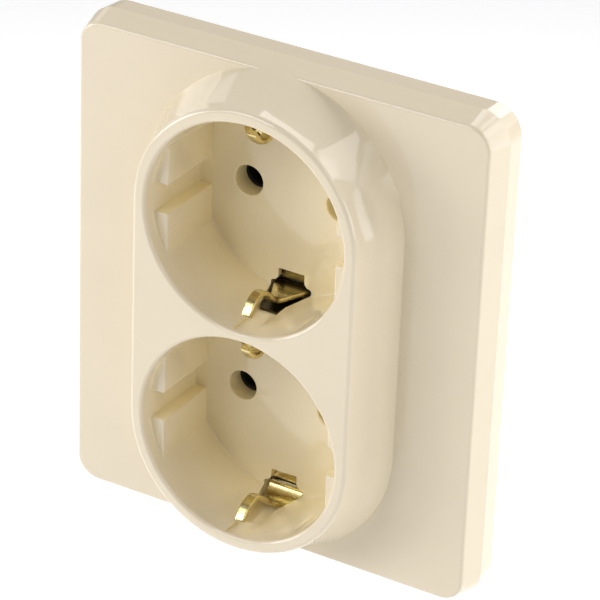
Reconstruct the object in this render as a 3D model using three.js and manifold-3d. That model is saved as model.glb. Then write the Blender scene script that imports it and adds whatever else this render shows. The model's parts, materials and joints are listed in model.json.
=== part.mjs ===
// Double earthed wall outlet: one front cover with two round wells over a strap-mounted socket insert.
// Frame: the wall's surface is the plane y = 0 and the room is on its -y side, +x is right, +z is up,
// and the origin is the middle of the cover's back. Lengths are in millimetres.
import * as THREE from "three";
import { mergeVertices } from "three/addons/utils/BufferGeometryUtils.js";
import Module from "manifold-3d";

const wasm = await Module();
wasm.setup();

// ---------------------------------------------------------------- driving dimensions
const GAP = 0.3; // between neighbouring pieces
const CUT = 1; // how far a cutter runs past the face that it opens

// front cover
const PLATE_WIDTH = 82.7; // at the front edge
const PLATE_HEIGHT = 94.1;
const PLATE_FRONT = -9.85;
const PLATE_CORNER = 4.5;
const EDGE_ROUND = 0.6;
const PLATE_WAIST = -4.75; // the widest line of the side
const WAIST_GROWTH = 1.2; // on each side, over the front edge
const BACK_GROWTH = 0.85;
const PLATE_WALL = 2;
const BOSS_FRONT = -20.9;
const BOSS_FRONT_RADIUS = 22.7;
const BOSS_BASE_RADIUS = 26.1;
const BOSS_WALL = 1.8;
const BOSS_CAVITY_FRONT = -17.2;

// wells
const WELL_SPACING = 42;
const WELL_RADIUS = 20.1; // at the opening, before its rounded edge
const WELL_FLOOR_RADIUS = 19.65;
const WELL_TUBE_RADIUS = 21.5;
const WELL_RIM_ROUND = 0.7;
const FLOOR_FRONT = -3.1;
const FLOOR_BACK = -1.1;
const GUIDE_FACE = 17.05; // flat guide faces, from the well's middle
const GUIDE_FRONT = -18;
const GUIDE_GAP = 5.6;
const GUIDE_REACH = 11.5; // past the line where a guide face meets the round wall
const PIN_OFFSET = 9.5; // half of the 19 mm between the pins
const PIN_HOLE_RADIUS = 2.9;
const COLLAR_RADIUS = 4.3;
const COLLAR_BACK = 0.9;

// earth contacts, measured from the well's middle towards its top or bottom
const CLIP_THICK = 1;
const CLIP_WIDTH = 2;
const CLIP_ROOT_WIDTH = 7.6;
const WINDOW_INNER = 15.5;
const WINDOW_STEP = 18.1;
const WINDOW_WIDTH = 5.4;
const WINDOW_ROOT_WIDTH = 8.4;
const CHANNEL_WIDTH = 4.4;
const CHANNEL_DEPTH = 20.45;
const CHANNEL_FRONT = -20.1;
const SLOT_END = -14.7;

// support strap and what it carries
const STRAP_WIDTH = 71;
const STRAP_HEIGHT = 88;
const STRAP_THICK = 0.8;
const BOX_SCREW_SPACING = 60;
const BOX_SLOT_Z = 10;
const BOX_SLOT_RADIUS = 2.1;
const BRIDGE_FRONT = -1.9;
const BRIDGE_WIDTH = 6.8;
const BRIDGE_LINK_INNER = 4.4;
const BRIDGE_LINK_OUTER = 6.2;
const BRIDGE_LINK_HEIGHT = 8.6;
const COVER_SCREW_X = -7.3;
const COVER_SCREW_HOLE = 1.8;
const COVER_SCREW_RISE = 11; // above the middle of each well

// insert behind the strap
const HOUSING_WIDTH = 44;
const HOUSING_HEIGHT = 60;
const HOUSING_CORNER = 12;
const HOUSING_FRONT = 1.6;
const HOUSING_BACK = 19;
const HOUSING_WALL = 2;
const REAR_COVER_THICK = 2;
const CHAMBER_INNER = 5.3;
const CHAMBER_OUTER = 14;
const TERMINAL_BAY_INNER = 13;
const TERMINAL_BAY_HALF_HEIGHT = 6.2;
const CHAMBER_HALF_HEIGHT = 26.5;
const BUS_FRONT = 16.5;
const BUS_THICK = 1;
const BUS_WIDTH = 6.8;
const BUS_HEIGHT = 50;
const LEAF_THICK = 0.6;
const LEAF_WIDTH = 6;
const LEAF_OFFSET = 3;
const TERMINAL_TAB = 14.2; // inner face of a terminal's tab, from the middle plane
const TERMINAL_TAB_THICK = 1.2;
const TERMINAL_OPEN = 2.4; // wire space between tab and clamp with the screw backed out
const CLAMP_THICK = 1;
const CLAMP_HALF_WIDTH = 4.6;
const EARTH_CLAMP_HALF_WIDTH = 3.4;
const TERMINAL_Y = 9.5;
const EARTH_TAB_Z = 22; // the earth terminal's tab, below the middle
const EARTH_TERMINAL_Y = 8.5;
const TERMINAL_HOLE_RADIUS = 1.9;

// rivets
const HOUSING_RIVET_Z = 13;
const HOUSING_RIVET_HOLE = 1.7;
const EARTH_RIVET_Z = 29.5;
const EARTH_RIVET_HOLE = 1.5;

// claws
const CLAW_SCREW_X = 26.5;
const CLAW_ARM_X = 28.7;
const CLAW_THICK = 1.2;
const CLAW_HEIGHT = 10;
const CLAW_PIVOT_X = 30.2;
const CLAW_PIVOT_Y = 3;
const CLAW_BORE_RADIUS = 1.1;
const CLAW_FOOT_FRONT = 16.8;
const CLAW_FOOT_BACK = 18;

const WELL_Z = WELL_SPACING / 2;
const CORNER_STEPS = 8;
const STADIUM_STEPS = 24;
const WELL_STEPS = 56;

// ---------------------------------------------------------------- materials
const IVORY = { color: 0xe6dcc6, roughness: 0.25, metalness: 0 };
const BLACK_PLASTIC = { color: 0x2b2927, roughness: 0.6, metalness: 0 };
const ZINC_STEEL = { color: 0xb9bcc0, roughness: 0.35, metalness: 1 };
const BRASS = { color: 0xc9a64a, roughness: 0.3, metalness: 1 };
const YELLOW_STEEL = { color: 0xc8b25a, roughness: 0.28, metalness: 1 };

// ---------------------------------------------------------------- solids
function manifoldOf(positions, triangles) {
  const vertProperties = new Float32Array(positions);
  const triVerts = new Uint32Array(triangles);
  return new wasm.Manifold(new wasm.Mesh({ numProp: 3, vertProperties, triVerts }));
}

// A closed three.js geometry as a solid, turned outwards where its faces point in.
function solid(geometry) {
  const bare = geometry.clone();
  bare.deleteAttribute("normal");
  bare.deleteAttribute("uv");
  const merged = mergeVertices(bare, 1e-4);
  const triangles = Array.from(merged.index.array);
  const made = manifoldOf(merged.attributes.position.array, triangles);
  return made.volume() >= 0 ? made : manifoldOf(merged.attributes.position.array, triangles.reverse());
}

function geometryOf(shape) {
  const { vertProperties, triVerts } = shape.getMesh();
  const geometry = new THREE.BufferGeometry();
  geometry.setAttribute("position", new THREE.BufferAttribute(vertProperties, 3));
  geometry.setIndex(new THREE.BufferAttribute(triVerts, 1));
  return geometry;
}

// A copy of a solid, turned about the y axis and then raised along z.
function placed(shape, turn, z) {
  const move = new THREE.Matrix4().makeRotationY(turn).setPosition(0, 0, z);
  return solid(geometryOf(shape).applyMatrix4(move));
}

function meshOf(name, shape, finish) {
  const geometry = geometryOf(shape);
  geometry.computeVertexNormals();
  const mesh = new THREE.Mesh(geometry, new THREE.MeshStandardMaterial(finish));
  mesh.name = name;
  return mesh;
}

function join(first, ...others) {
  return others.reduce((sum, next) => sum.add(next), first);
}

function cut(first, ...others) {
  return others.reduce((rest, next) => rest.subtract(next), first);
}

// The stretch from a to b on the + side, or its mirror image on the - side, lowest end first.
function span(sign, a, b) {
  return sign > 0 ? [a, b] : [-b, -a];
}

function box(x0, x1, y0, y1, z0, z1) {
  const block = new THREE.BoxGeometry(x1 - x0, y1 - y0, z1 - z0);
  return solid(block.translate((x0 + x1) / 2, (y0 + y1) / 2, (z0 + z1) / 2));
}

// Round bars along each axis, between two stations on it.
function barY(x, z, radius, y0, y1, steps = 20) {
  const bar = new THREE.CylinderGeometry(radius, radius, y1 - y0, steps);
  return solid(bar.translate(x, (y0 + y1) / 2, z));
}

function barX(y, z, radius, x0, x1, steps = 20) {
  const bar = new THREE.CylinderGeometry(radius, radius, x1 - x0, steps);
  return solid(bar.rotateZ(Math.PI / 2).translate((x0 + x1) / 2, y, z));
}

function barZ(x, y, radius, z0, z1, steps = 20) {
  const bar = new THREE.CylinderGeometry(radius, radius, z1 - z0, steps);
  return solid(bar.rotateX(Math.PI / 2).translate(x, y, (z0 + z1) / 2));
}

function turned(profile, steps) {
  return solid(new THREE.LatheGeometry(profile.map(([r, y]) => new THREE.Vector2(r, y)), steps));
}

// An outline in x and z, extruded from y0 to y1.
function slab(shape, y0, y1) {
  const made = new THREE.ExtrudeGeometry(shape, { depth: y1 - y0, bevelEnabled: false, curveSegments: 8 });
  return solid(made.rotateX(Math.PI / 2).translate(0, y1, 0));
}

function shapeOf(points) {
  return new THREE.Shape(points.map(([u, v]) => new THREE.Vector2(u, v)));
}

// An outline in x and y, extruded from z0 to z1.
function plan(points, z0, z1) {
  const made = new THREE.ExtrudeGeometry(shapeOf(points), { depth: z1 - z0, bevelEnabled: false });
  return solid(made.translate(0, 0, z0));
}

// An outline in y and z, extruded from x0 to x1.
function side(points, x0, x1) {
  const made = new THREE.ExtrudeGeometry(shapeOf(points), { depth: x1 - x0, bevelEnabled: false });
  const turn = new THREE.Matrix4().makeBasis(
    new THREE.Vector3(0, 1, 0),
    new THREE.Vector3(0, 0, 1),
    new THREE.Vector3(1, 0, 0),
  );
  return solid(made.applyMatrix4(turn).translate(x0, 0, 0));
}

function roundedRectShape(width, height, radius) {
  const shape = new THREE.Shape();
  const corners = [[1, 1, 0], [-1, 1, 90], [-1, -1, 180], [1, -1, 270]];
  for (const [sx, sz, start] of corners) {
    const from = THREE.MathUtils.degToRad(start);
    shape.absarc(sx * (width / 2 - radius), sz * (height / 2 - radius), radius, from, from + Math.PI / 2);
  }
  return shape;
}

// ---------------------------------------------------------------- lofts
function roundedRectRing(width, height, radius, y) {
  const ring = [];
  const corners = [[1, 1, 0], [-1, 1, 90], [-1, -1, 180], [1, -1, 270]];
  for (const [sx, sz, start] of corners) {
    for (let i = 0; i <= CORNER_STEPS; i += 1) {
      const angle = THREE.MathUtils.degToRad(start + (90 * i) / CORNER_STEPS);
      const x = sx * (width / 2 - radius) + radius * Math.cos(angle);
      const z = sz * (height / 2 - radius) + radius * Math.sin(angle);
      ring.push(new THREE.Vector3(x, y, z));
    }
  }
  return ring;
}

function stadiumRing(spacing, radius, y) {
  const ring = [];
  for (const [sz, start] of [[1, 0], [-1, 180]]) {
    for (let i = 0; i <= STADIUM_STEPS; i += 1) {
      const angle = THREE.MathUtils.degToRad(start + (180 * i) / STADIUM_STEPS);
      const z = (sz * spacing) / 2 + radius * Math.sin(angle);
      ring.push(new THREE.Vector3(radius * Math.cos(angle), y, z));
    }
  }
  return ring;
}

// Skins convex rings of equal point count, and closes both ends with a fan.
function loft(rings) {
  const count = rings[0].length;
  const positions = rings.flat().flatMap((p) => p.toArray());
  const triangles = [];
  for (let r = 0; r + 1 < rings.length; r += 1) {
    for (let i = 0; i < count; i += 1) {
      const a = r * count + i;
      const b = r * count + ((i + 1) % count);
      triangles.push(a, b, a + count, b, b + count, a + count);
    }
  }
  for (const r of [0, rings.length - 1]) {
    const middle = positions.length / 3;
    positions.push(0, rings[r][0].y, 0);
    for (let i = 0; i < count; i += 1) {
      const fan = [r * count + ((i + 1) % count), r * count + i, middle];
      triangles.push(...(r === 0 ? fan : fan.reverse()));
    }
  }
  const geometry = new THREE.BufferGeometry();
  geometry.setAttribute("position", new THREE.Float32BufferAttribute(positions, 3));
  geometry.setIndex(triangles);
  return solid(geometry);
}

// A strip of even thickness along a smooth line through the given points, as an outline.
function stripOutline(points, thick, steps) {
  const line = new THREE.SplineCurve(points.map(([u, v]) => new THREE.Vector2(u, v)));
  const left = [];
  const right = [];
  for (let i = 0; i <= steps; i += 1) {
    const p = line.getPoint(i / steps);
    const t = line.getTangent(i / steps);
    left.push([p.x - (t.y * thick) / 2, p.y + (t.x * thick) / 2]);
    right.push([p.x + (t.y * thick) / 2, p.y - (t.x * thick) / 2]);
  }
  return left.concat(right.reverse());
}

// ---------------------------------------------------------------- front cover
function plateBody() {
  const grown = (growth, y) =>
    roundedRectRing(PLATE_WIDTH + 2 * growth, PLATE_HEIGHT + 2 * growth, PLATE_CORNER + growth, y);
  return loft([
    grown(-EDGE_ROUND, PLATE_FRONT),
    grown(-EDGE_ROUND * 0.3, PLATE_FRONT + EDGE_ROUND * 0.3),
    grown(0, PLATE_FRONT + EDGE_ROUND),
    grown(WAIST_GROWTH, PLATE_WAIST),
    grown(BACK_GROWTH, 0),
  ]);
}

function plateCavity() {
  const shrink = 2 * (PLATE_WALL - BACK_GROWTH);
  const ring = (y) => roundedRectRing(PLATE_WIDTH - shrink, PLATE_HEIGHT - shrink, PLATE_CORNER - 1, y);
  return loft([ring(PLATE_FRONT + PLATE_WALL), ring(CUT)]);
}

function bossBody() {
  const spread = BOSS_BASE_RADIUS - BOSS_FRONT_RADIUS;
  const height = PLATE_FRONT - BOSS_FRONT;
  const ring = (part, radius) => stadiumRing(WELL_SPACING, radius, BOSS_FRONT + part * height);
  return loft([
    ring(0, BOSS_FRONT_RADIUS - EDGE_ROUND),
    ring(0.02, BOSS_FRONT_RADIUS - EDGE_ROUND * 0.3),
    ring(0.06, BOSS_FRONT_RADIUS),
    ring(0.5, BOSS_FRONT_RADIUS + 0.42 * spread),
    ring(1, BOSS_BASE_RADIUS),
    ring(1.1, BOSS_BASE_RADIUS),
  ]);
}

function bossCavity() {
  return loft([
    stadiumRing(WELL_SPACING, BOSS_FRONT_RADIUS - BOSS_WALL + 0.9, BOSS_CAVITY_FRONT),
    stadiumRing(WELL_SPACING, BOSS_BASE_RADIUS - BOSS_WALL, PLATE_FRONT + PLATE_WALL + 0.1),
  ]);
}

function wellCutter() {
  const round = WELL_RIM_ROUND;
  return turned(
    [
      [0, FLOOR_FRONT],
      [WELL_FLOOR_RADIUS, FLOOR_FRONT],
      [WELL_RADIUS, BOSS_FRONT + round],
      [WELL_RADIUS + 0.3 * round, BOSS_FRONT + 0.3 * round],
      [WELL_RADIUS + round, BOSS_FRONT],
      [WELL_RADIUS + round, BOSS_FRONT - CUT],
      [0, BOSS_FRONT - CUT],
    ],
    WELL_STEPS,
  );
}

function guideBlocks() {
  const core = barY(0, 0, WELL_RADIUS + 0.4, GUIDE_FRONT, FLOOR_FRONT + 0.2, WELL_STEPS);
  const blocks = [];
  for (const sx of [-1, 1]) {
    for (const sz of [-1, 1]) {
      const [x0, x1] = span(sx, GUIDE_FACE, WELL_TUBE_RADIUS - 0.2);
      const [z0, z1] = span(sz, GUIDE_GAP / 2, GUIDE_REACH);
      blocks.push(core.intersect(box(x0, x1, GUIDE_FRONT, FLOOR_FRONT + 0.2, z0, z1)));
    }
  }
  return join(...blocks);
}

// What an earth contact needs cut from a well: a stepped window in the floor, a slot that opens
// the wall behind its arm, and a shallow channel for its tip. It is drawn for the side towards +z.
function contactCutter(outerEdge) {
  const window = box(-WINDOW_WIDTH / 2, WINDOW_WIDTH / 2, FLOOR_FRONT - 0.1, FLOOR_BACK + CUT,
    WINDOW_INNER, WINDOW_STEP + 0.1);
  const half = WINDOW_ROOT_WIDTH / 2;
  const root = box(-half, half, FLOOR_FRONT - 0.1, FLOOR_BACK + CUT, WINDOW_STEP, outerEdge);
  const slot = plan(
    [
      [-half, FLOOR_FRONT],
      [-CHANNEL_WIDTH / 2, SLOT_END + 6],
      [-CHANNEL_WIDTH / 2, SLOT_END],
      [CHANNEL_WIDTH / 2, SLOT_END],
      [CHANNEL_WIDTH / 2 + 0.6, SLOT_END + 6],
      [half, FLOOR_FRONT],
    ],
    WINDOW_STEP - 0.8,
    outerEdge,
  );
  const channel = box(-CHANNEL_WIDTH / 2, CHANNEL_WIDTH / 2, CHANNEL_FRONT, SLOT_END + 0.1,
    WINDOW_STEP - 0.8, CHANNEL_DEPTH);
  return join(window, root, slot, channel);
}

// Room behind the two floors for the earth bridge.
function bridgeRecess() {
  const front = BRIDGE_FRONT - GAP;
  const back = FLOOR_BACK + CUT;
  const half = BRIDGE_WIDTH / 2 + 0.4;
  const link = BRIDGE_LINK_OUTER + 0.4;
  return join(
    box(-half, half, front, back, -WELL_Z - WINDOW_STEP, WELL_Z + WINDOW_STEP),
    box(-link, link, front, back, -BRIDGE_LINK_HEIGHT - 0.4, BRIDGE_LINK_HEIGHT + 0.4),
  );
}

function coverScrewPlaces() {
  return [WELL_Z + COVER_SCREW_RISE, -WELL_Z + COVER_SCREW_RISE];
}

function pinPlaces() {
  const places = [];
  for (const sx of [-1, 1]) {
    for (const sz of [-1, 1]) {
      places.push([sx * PIN_OFFSET, sz * WELL_Z]);
    }
  }
  return places;
}

function frontCover() {
  let cover = cut(join(plateBody(), bossBody()), plateCavity(), bossCavity());
  for (const sz of [-1, 1]) {
    const tube = barY(0, sz * WELL_Z, WELL_TUBE_RADIUS, BOSS_CAVITY_FRONT - 0.5, FLOOR_BACK, WELL_STEPS);
    cover = join(cover, tube);
  }
  for (const [x, z] of pinPlaces()) {
    cover = join(cover, barY(x, z, COLLAR_RADIUS, FLOOR_BACK - 0.5, COLLAR_BACK, 24));
  }
  for (const sz of [-1, 1]) {
    const [outward, inward] = sz > 0 ? [0, Math.PI] : [Math.PI, 0];
    cover = cut(cover, placed(wellCutter(), 0, sz * WELL_Z));
    cover = join(cover, placed(guideBlocks(), 0, sz * WELL_Z));
    cover = cut(cover, placed(contactCutter(WELL_TUBE_RADIUS + 1), outward, sz * WELL_Z));
    cover = cut(cover, placed(contactCutter(WELL_Z - 0.4), inward, sz * WELL_Z));
  }
  for (const [x, z] of pinPlaces()) {
    cover = cut(cover, barY(x, z, PIN_HOLE_RADIUS, FLOOR_FRONT - CUT, COLLAR_BACK + CUT, 24));
  }
  for (const z of coverScrewPlaces()) {
    cover = cut(cover, barY(COVER_SCREW_X, z, COVER_SCREW_HOLE, FLOOR_FRONT - CUT, FLOOR_BACK + CUT));
  }
  return meshOf("front_cover", cut(cover, bridgeRecess()), IVORY);
}

// ---------------------------------------------------------------- screws and rivets
// Pan-head screw along +y, its head's underside at y = 0, with a cross recess.
function crossScrew(name, headRadius, headHeight, shankRadius, shankLength, finish) {
  const head = turned(
    [
      [0, -headHeight],
      [0.55 * headRadius, -headHeight],
      [0.88 * headRadius, -0.7 * headHeight],
      [headRadius, -0.3 * headHeight],
      [headRadius, 0],
      [0, 0],
    ],
    20,
  );
  const shank = barY(0, 0, shankRadius, -0.1, shankLength, 16);
  const arm = 0.62 * headRadius;
  const depth = 0.55 * headHeight;
  const recess = join(
    box(-arm, arm, -headHeight - CUT, -headHeight + depth, -0.35, 0.35),
    box(-0.35, 0.35, -headHeight - CUT, -headHeight + depth, -arm, arm),
  );
  return meshOf(name, cut(join(head, shank), recess), finish);
}

function coverScrews() {
  const screws = new THREE.Group();
  ["upper", "lower"].forEach((level, i) => {
    const screw = crossScrew(`cover_screw_${level}`, 2.9, 1.7, 1.5, 8.2, YELLOW_STEEL);
    screw.position.set(COVER_SCREW_X, FLOOR_FRONT - 0.05, coverScrewPlaces()[i]);
    screws.add(screw);
  });
  return screws;
}

function rivet(name, z, radius, headRadius, back, finish) {
  const shank = barY(0, 0, radius, BRIDGE_FRONT, back + 0.1, 16);
  const head = turned([[0, back], [headRadius, back], [0.7 * headRadius, back + 0.9], [0, back + 1]], 16);
  const mesh = meshOf(name, join(shank, head), finish);
  mesh.position.z = z;
  return mesh;
}

function rivets() {
  const group = new THREE.Group();
  const rear = HOUSING_BACK + 2 * GAP + REAR_COVER_THICK;
  for (const [level, sz] of [["upper", 1], ["lower", -1]]) {
    group.add(rivet(`housing_rivet_${level}`, sz * HOUSING_RIVET_Z, 1.4, 2.6, rear, BRASS));
    group.add(rivet(`earth_rivet_${level}`, sz * EARTH_RIVET_Z, 1.2, 2.1, GAP, BRASS));
  }
  return group;
}

// ---------------------------------------------------------------- support strap
function strapHole(x, z, radius) {
  return barY(x, z, radius, -STRAP_THICK - CUT, CUT, 16);
}

function strapWindow(x0, x1, z0, z1) {
  return box(x0, x1, -STRAP_THICK - CUT, CUT, z0, z1);
}

// Two ears bent back at each side carry the claw's pin.
function clawEar(sx, sz) {
  const [x0, x1] = span(sx, CLAW_PIVOT_X - 2, CLAW_PIVOT_X + 2.2);
  const [z0, z1] = span(sz, CLAW_HEIGHT / 2 + GAP, CLAW_HEIGHT / 2 + GAP + 1);
  const bore = barZ(sx * CLAW_PIVOT_X, CLAW_PIVOT_Y, CLAW_BORE_RADIUS, z0 - CUT, z1 + CUT, 16);
  return cut(box(x0, x1, -0.1, CLAW_PIVOT_Y + 2.2, z0, z1), bore);
}

function mountingStrap() {
  let strap = slab(roundedRectShape(STRAP_WIDTH, STRAP_HEIGHT, 5), -STRAP_THICK, 0);
  for (const [x, z] of pinPlaces()) {
    strap = cut(strap, barY(x, z, COLLAR_RADIUS + 0.4, -STRAP_THICK - CUT, CUT, 24));
  }
  for (const z of coverScrewPlaces()) {
    strap = cut(strap, strapHole(COVER_SCREW_X, z, COVER_SCREW_HOLE));
  }
  for (const sz of [-1, 1]) {
    strap = cut(strap, strapHole(0, sz * HOUSING_RIVET_Z, HOUSING_RIVET_HOLE));
    strap = cut(strap, strapHole(0, sz * EARTH_RIVET_Z, EARTH_RIVET_HOLE));
    for (const sx of [-1, 1]) {
      // a waisted corner and a lightening window
      strap = cut(strap, barY(sx * STRAP_WIDTH / 2, sz * STRAP_HEIGHT / 2, 9, -STRAP_THICK - CUT, CUT, 24));
      strap = cut(strap, strapWindow(...span(sx, 21.5, 26.5), ...span(sz, 20, 28)));
    }
  }
  strap = cut(strap, strapWindow(-BRIDGE_WIDTH / 2 - 0.4, BRIDGE_WIDTH / 2 + 0.4,
    -EARTH_TAB_Z - TERMINAL_TAB_THICK - GAP, -EARTH_TAB_Z + GAP));
  for (const sx of [-1, 1]) {
    strap = cut(strap, strapHole(sx * CLAW_SCREW_X, 0, 1.9));
    for (const sz of [-1, 1]) {
      // box-screw slots above and below each claw
      const x = (sx * BOX_SCREW_SPACING) / 2;
      const slot = join(
        strapHole(x, sz * BOX_SLOT_Z, BOX_SLOT_RADIUS),
        strapHole(x, sz * (BOX_SLOT_Z + 3.5), BOX_SLOT_RADIUS),
        strapWindow(x - BOX_SLOT_RADIUS, x + BOX_SLOT_RADIUS, ...span(sz, BOX_SLOT_Z, BOX_SLOT_Z + 3.5)),
      );
      strap = join(cut(strap, slot), clawEar(sx, sz));
    }
  }
  return meshOf("mounting_strap", strap, ZINC_STEEL);
}

// ---------------------------------------------------------------- claws
function claw(name, sx) {
  const half = CLAW_HEIGHT / 2;
  const outer = CLAW_ARM_X + CLAW_THICK;
  const outline = [
    [CLAW_ARM_X, CLAW_PIVOT_Y - 1.7],
    [outer, CLAW_PIVOT_Y - 1.7],
    [outer, CLAW_FOOT_FRONT - 1.6],
    [outer + 1.9, CLAW_FOOT_FRONT],
    [outer + 1.9, CLAW_FOOT_BACK],
    [CLAW_ARM_X, CLAW_FOOT_BACK],
  ];
  const arm = plan(outline.map(([x, y]) => [sx * x, y]), -half, half);
  const foot = box(...span(sx, CLAW_SCREW_X - 3, CLAW_ARM_X + 0.1), CLAW_FOOT_FRONT, CLAW_FOOT_BACK,
    -half, half);
  const eye = barZ(sx * CLAW_PIVOT_X, CLAW_PIVOT_Y, 1.75, -half, half, 20);
  const bore = barZ(sx * CLAW_PIVOT_X, CLAW_PIVOT_Y, CLAW_BORE_RADIUS, -half - CUT, half + CUT, 16);
  const fork = join(
    barY(sx * CLAW_SCREW_X, 0, 1.9, CLAW_FOOT_FRONT - CUT, CLAW_FOOT_BACK + CUT, 16),
    box(...span(sx, CLAW_SCREW_X - 4, CLAW_SCREW_X), CLAW_FOOT_FRONT - CUT, CLAW_FOOT_BACK + CUT, -1.9, 1.9),
  );
  // teeth across the gripping edge
  const notch = (z) => box(...span(sx, outer + 0.9, outer + 3), CLAW_FOOT_FRONT - 2, CLAW_FOOT_BACK + CUT,
    z - 0.7, z + 0.7);
  return meshOf(name, cut(join(arm, foot, eye), bore, fork, ...[-3, 0, 3].map(notch)), ZINC_STEEL);
}

function claws() {
  const group = new THREE.Group();
  for (const [hand, sx] of [["left", -1], ["right", 1]]) {
    group.add(claw(`claw_${hand}`, sx));
    const screw = crossScrew(`claw_screw_${hand}`, 2.7, 1.9, 1.5, 20.5, ZINC_STEEL);
    screw.position.set(sx * CLAW_SCREW_X, -STRAP_THICK - 0.05, 0);
    group.add(screw);
    const pin = barZ(0, 0, 0.8, -CLAW_HEIGHT / 2 - 1.6, CLAW_HEIGHT / 2 + 1.6, 16);
    const mesh = meshOf(`claw_pin_${hand}`, pin, ZINC_STEEL);
    mesh.position.set(sx * CLAW_PIVOT_X, CLAW_PIVOT_Y, 0);
    group.add(mesh);
  }
  return group;
}

// ---------------------------------------------------------------- earth path
function earthBridge() {
  const back = BRIDGE_FRONT + STRAP_THICK;
  const half = BRIDGE_WIDTH / 2;
  const parts = [];
  for (const sign of [-1, 1]) {
    const run = span(sign, WELL_Z - WINDOW_STEP + GAP, WELL_Z + WINDOW_STEP - GAP);
    const rung = span(sign, BRIDGE_LINK_HEIGHT - 1.8, BRIDGE_LINK_HEIGHT);
    const link = span(sign, BRIDGE_LINK_INNER, BRIDGE_LINK_OUTER);
    parts.push(box(-half, half, BRIDGE_FRONT, back, ...run));
    parts.push(box(-BRIDGE_LINK_OUTER, BRIDGE_LINK_OUTER, BRIDGE_FRONT, back, ...rung));
    parts.push(box(...link, BRIDGE_FRONT, back, -BRIDGE_LINK_HEIGHT, BRIDGE_LINK_HEIGHT));
  }
  let bridge = join(...parts);
  for (const sz of [-1, 1]) {
    bridge = cut(bridge, barY(0, sz * HOUSING_RIVET_Z, HOUSING_RIVET_HOLE, BRIDGE_FRONT - CUT, CUT, 16));
    bridge = cut(bridge, barY(0, sz * EARTH_RIVET_Z, EARTH_RIVET_HOLE, BRIDGE_FRONT - CUT, CUT, 16));
  }
  const tab = box(-3.3, 3.3, back - 0.1, EARTH_TERMINAL_Y + 4,
    -EARTH_TAB_Z - TERMINAL_TAB_THICK, -EARTH_TAB_Z);
  const hole = barZ(0, EARTH_TERMINAL_Y, TERMINAL_HOLE_RADIUS, -EARTH_TAB_Z - 3, -EARTH_TAB_Z + CUT, 16);
  return meshOf("earth_bridge", join(bridge, cut(tab, hole)), BRASS);
}

// Centre lines in y and z of the spring arms, for the side towards +z of a well.
const MIDDLE_CLIP_LINE = [
  [-1.5, 18.5], [-1.9, 18.75], [-2.8, 18.9], [-5.5, 18.9], [-8.4, 18.85], [-10.3, 17.7],
  [-12.2, 15.9], [-14.3, 14.95], [-16.3, 15.4], [-17.6, 16.6], [-18.4, 17.9],
];
const OUTER_CLIP_LINE = [
  [-1.5, 18.6], [-1.8, 19.7], [-3.4, 20.8], [-5.8, 20.7], [-7.8, 19.6], [-10.1, 17.7],
  [-12.2, 16.1], [-14.1, 15.2], [-16.3, 15.7], [-17.7, 16.9], [-18.6, 18.1],
];

function clipArm(name, line) {
  const outline = stripOutline(line, CLIP_THICK, 22);
  const half = CLIP_ROOT_WIDTH / 2;
  const taper = plan(
    [
      [-half, 0], [-half, -2.6], [-CLIP_WIDTH / 2, -8.9], [-CLIP_WIDTH / 2, -20],
      [CLIP_WIDTH / 2, -20], [CLIP_WIDTH / 2, -8.9], [half, -2.6], [half, 0],
    ],
    10,
    25,
  );
  return meshOf(name, side(outline, -half, half).intersect(taper), BRASS);
}

function earthClips() {
  const group = new THREE.Group();
  for (const [well, sz] of [["upper", 1], ["lower", -1]]) {
    const outer = clipArm(`earth_clip_${well}_outer`, OUTER_CLIP_LINE);
    outer.position.z = sz * WELL_Z;
    outer.rotation.y = sz > 0 ? 0 : Math.PI;
    const inner = clipArm(`earth_clip_${well}_inner`, MIDDLE_CLIP_LINE);
    inner.position.z = sz * WELL_Z;
    inner.rotation.y = sz > 0 ? Math.PI : 0;
    group.add(outer, inner);
  }
  return group;
}

// ---------------------------------------------------------------- live contacts
function busBar(name, sx) {
  const half = BUS_WIDTH / 2;
  const back = BUS_FRONT + BUS_THICK;
  const tabX = span(sx, TERMINAL_TAB, TERMINAL_TAB + TERMINAL_TAB_THICK);
  const bar = box(...span(sx, PIN_OFFSET - half, PIN_OFFSET + half), BUS_FRONT, back,
    -BUS_HEIGHT / 2, BUS_HEIGHT / 2);
  const shelf = box(...span(sx, PIN_OFFSET, TERMINAL_TAB + 0.1), BUS_FRONT, back, -5.5, 5.5);
  const hole = barX(TERMINAL_Y, 0, TERMINAL_HOLE_RADIUS, tabX[0] - CUT, tabX[1] + CUT, 16);
  const tab = cut(box(...tabX, TERMINAL_Y - 4, back, -5.5, 5.5), hole);
  return meshOf(name, join(bar, shelf, tab), BRASS);
}

// Spring leaf beside a pin: drawn for the side towards +x, its root at the origin, reaching to -y.
const LEAF_LINE = [
  [0, -0.4], [0, -2.2], [-0.35, -4.2], [-0.55, -6], [-0.4, -7.6], [0.3, -9.2],
];

function contactLeaf(name, x, z, towards) {
  const outline = stripOutline(LEAF_LINE, LEAF_THICK, 12).map(([u, v]) => [towards * u, v]);
  const mesh = meshOf(name, plan(outline, -LEAF_WIDTH / 2, LEAF_WIDTH / 2), BRASS);
  mesh.position.set(x + towards * LEAF_OFFSET, BUS_FRONT, z);
  return mesh;
}

function contactLeaves() {
  const group = new THREE.Group();
  for (const [pole, sx] of [["line", -1], ["neutral", 1]]) {
    for (const [well, sz] of [["upper", 1], ["lower", -1]]) {
      for (const [place, towards] of [["inner", -sx], ["outer", sx]]) {
        const name = `${pole}_leaf_${well}_${place}`;
        group.add(contactLeaf(name, sx * PIN_OFFSET, sz * WELL_Z, towards));
      }
    }
  }
  return group;
}

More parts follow.
